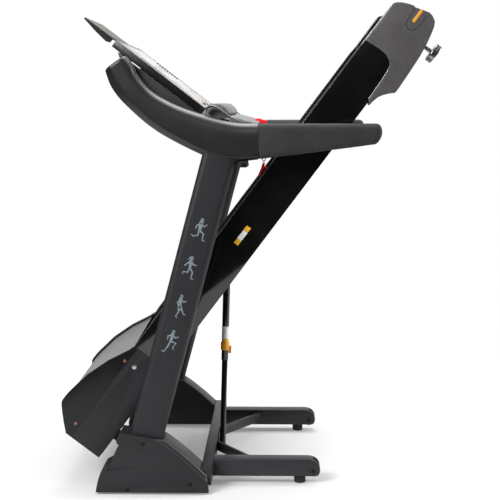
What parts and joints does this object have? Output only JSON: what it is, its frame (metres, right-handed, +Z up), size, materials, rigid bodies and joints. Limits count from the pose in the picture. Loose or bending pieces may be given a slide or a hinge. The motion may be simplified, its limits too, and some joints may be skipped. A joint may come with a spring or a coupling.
{
  "type": "folding motorised treadmill",
  "caption": "Folding motorised treadmill standing folded: steel base with wheels, leaning uprights, curved console with foam grips, tilted running deck on a lift strut.",
  "frame": {"origin": "on the floor, under the middle of the folded part's bounding box", "axes": "+Z up, +X to the rear where the user steps on, the user faces -X, +Y to the user's right"},
  "size_m": [1.1188, 0.86, 1.4149],
  "materials": {
    "frame_paint": "satin charcoal powder coat",
    "upright_paint": "satin charcoal powder coat with a fine texture",
    "cover_plastic": "fine-textured moulded plastic",
    "pad_rubber": "matt moulded rubber",
    "wheel_plastic": "satin nylon",
    "console_plastic": "satin moulded plastic",
    "grip_foam": "fine closed-cell foam",
    "gloss_black": "high-gloss black",
    "silver_plastic": "satin gunmetal silver paint",
    "button_green": "semi-gloss",
    "button_red": "semi-gloss",
    "key_red": "semi-gloss",
    "lanyard_red": "braided cord",
    "board_wood": "phenolic-faced board",
    "belt_rubber": "fine-embossed belt",
    "steel": "zinc-plated",
    "motor_paint": "semi-gloss black enamel",
    "foot_chrome": "bright plated, knurled",
    "switch_red": "semi-gloss",
    "strut_black": "gloss black",
    "collar_orange": "satin"
  },
  "bodies": {
    "frame": {"rear_cross_tube": "frame_paint", "front_cross_tube": "frame_paint", "fold_shaft": "steel", "side_tube_left": "frame_paint", "side_tube_right": "frame_paint", "leg_left": "frame_paint", "leg_right": "frame_paint", "brace_left": "frame_paint", "brace_right": "frame_paint", "rear_pad_left": "pad_rubber", "rear_pad_right": "pad_rubber", "front_pad_left": "pad_rubber", "front_pad_right": "pad_rubber", "upright_left": "upright_paint", "upright_right": "upright_paint", "base_cover_left": "cover_plastic", "base_cover_right": "cover_plastic", "strut_bracket": "frame_paint", "console_arm_left": "console_plastic", "console_arm_right": "console_plastic", "grip_left": "grip_foam", "grip_right": "grip_foam", "console_body": "console_plastic", "display_housing": "console_plastic", "display_face": "gloss_black", "console_trim": "silver_plastic", "hand_bridge": "console_plastic"},
    "wheel_left": {"transport_wheel_left": "wheel_plastic"},
    "wheel_right": {"transport_wheel_right": "wheel_plastic"},
    "start_button": {"start_button": "button_green"},
    "stop_button": {"stop_button": "button_red"},
    "tablet_rest": {"tablet_rest": "console_plastic"},
    "safety_key": {"safety_key": "key_red", "lanyard": "lanyard_red", "lanyard_clip": "key_red"},
    "deck": {"deck_member_left": "frame_paint", "deck_member_right": "frame_paint", "foot_rail_left": "gloss_black", "foot_rail_right": "gloss_black", "rear_end_cap_left": "silver_plastic", "rear_end_cap_right": "silver_plastic", "deck_front_member": "frame_paint", "strut_member": "frame_paint", "deck_rear_member": "frame_paint", "deck_board": "board_wood", "running_belt": "belt_rubber", "drive_motor": "motor_paint", "drive_belt": "belt_rubber", "motor_controller": "steel", "motor_hood": "silver_plastic", "belly_pan": "cover_plastic"},
    "front_roller": {"front_roller": "steel"},
    "rear_roller": {"rear_roller": "steel"},
    "motor_shaft": {"motor_shaft": "steel"},
    "foot_left": {"levelling_foot_left": "foot_chrome"},
    "foot_right": {"levelling_foot_right": "foot_chrome"},
    "power_switch": {"power_switch": "switch_red"},
    "strut_tube": {"strut_tube": "strut_black"},
    "strut_sleeve": {"strut_sleeve": "strut_black"},
    "lock_collar": {"lock_collar": "collar_orange"}
  },
  "joints": [
    {"name": "deck_fold", "type": "hinge", "parent": "frame", "child": "deck", "pos_m": [-0.37716, 0, 0.11493], "axis": [0, 1, 0], "range_deg": [0, 55.7]},
    {"name": "strut_swing", "type": "hinge", "parent": "frame", "child": "strut_tube", "pos_m": [-0.0942, 0, 0.0235], "axis": [0, 1, 0], "range_deg": [0, 66]},
    {"name": "strut_stroke", "type": "slide", "parent": "strut_tube", "child": "strut_sleeve", "axis": [0.0283, 0, 0.9996], "range_m": [-0.2674, 0]},
    {"name": "lock_release", "type": "slide", "parent": "strut_sleeve", "child": "lock_collar", "axis": [0.0283, 0, 0.9996], "range_m": [-0.006, 0], "stiffness_N_per_m": 800},
    {"name": "wheel_spin_left", "type": "hinge", "parent": "frame", "child": "wheel_left", "pos_m": [0.1901, -0.295, 0.0388], "axis": [0, 1, 0], "continuous": true},
    {"name": "wheel_spin_right", "type": "hinge", "parent": "frame", "child": "wheel_right", "pos_m": [0.1901, 0.295, 0.0388], "axis": [0, 1, 0], "continuous": true},
    {"name": "front_roller_spin", "type": "hinge", "parent": "deck", "child": "front_roller", "pos_m": [-0.34109, 0, 0.34757], "axis": [0, 1, 0], "continuous": true},
    {"name": "rear_roller_spin", "type": "hinge", "parent": "deck", "child": "rear_roller", "pos_m": [0.41117, 0, 1.34586], "axis": [0, 1, 0], "continuous": true},
    {"name": "motor_spin", "type": "hinge", "parent": "deck", "child": "motor_shaft", "pos_m": [-0.43864, 0, 0.21447], "axis": [0, 1, 0], "continuous": true},
    {"name": "foot_screw_left", "type": "slide", "parent": "deck", "child": "foot_left", "axis": [0.7986, 0, -0.6018], "range_m": [-0.012, 0.001]},
    {"name": "foot_screw_right", "type": "slide", "parent": "deck", "child": "foot_right", "axis": [0.7986, 0, -0.6018], "range_m": [-0.012, 0.001]},
    {"name": "power_rock", "type": "hinge", "parent": "deck", "child": "power_switch", "pos_m": [-0.49148, 0.15, 0.10779], "axis": [0, 1, 0], "range_deg": [0, 8]},
    {"name": "rest_tilt", "type": "hinge", "parent": "frame", "child": "tablet_rest", "pos_m": [-0.39526, 0, 1.30837], "axis": [0, 1, 0], "range_deg": [0, 35]},
    {"name": "start_press", "type": "slide", "parent": "frame", "child": "start_button", "axis": [-0.6088, 0, -0.7934], "range_m": [0, 0.0015], "stiffness_N_per_m": 400},
    {"name": "stop_press", "type": "slide", "parent": "frame", "child": "stop_button", "axis": [-0.6088, 0, -0.7934], "range_m": [0, 0.0015], "stiffness_N_per_m": 400},
    {"name": "key_pull", "type": "slide", "parent": "frame", "child": "safety_key", "axis": [0, 0, 1], "range_m": [0, 0.03]}
  ],
  "couplings": [
    {"joint": "strut_swing", "follows": "deck_fold", "ratio": 1.184},
    {"joint": "strut_stroke", "follows": "deck_fold", "m_per_rad": -0.27485},
    {"joint": "rear_roller_spin", "follows": "front_roller_spin", "ratio": 1},
    {"joint": "motor_spin", "follows": "front_roller_spin", "ratio": 2.1875}
  ]
}
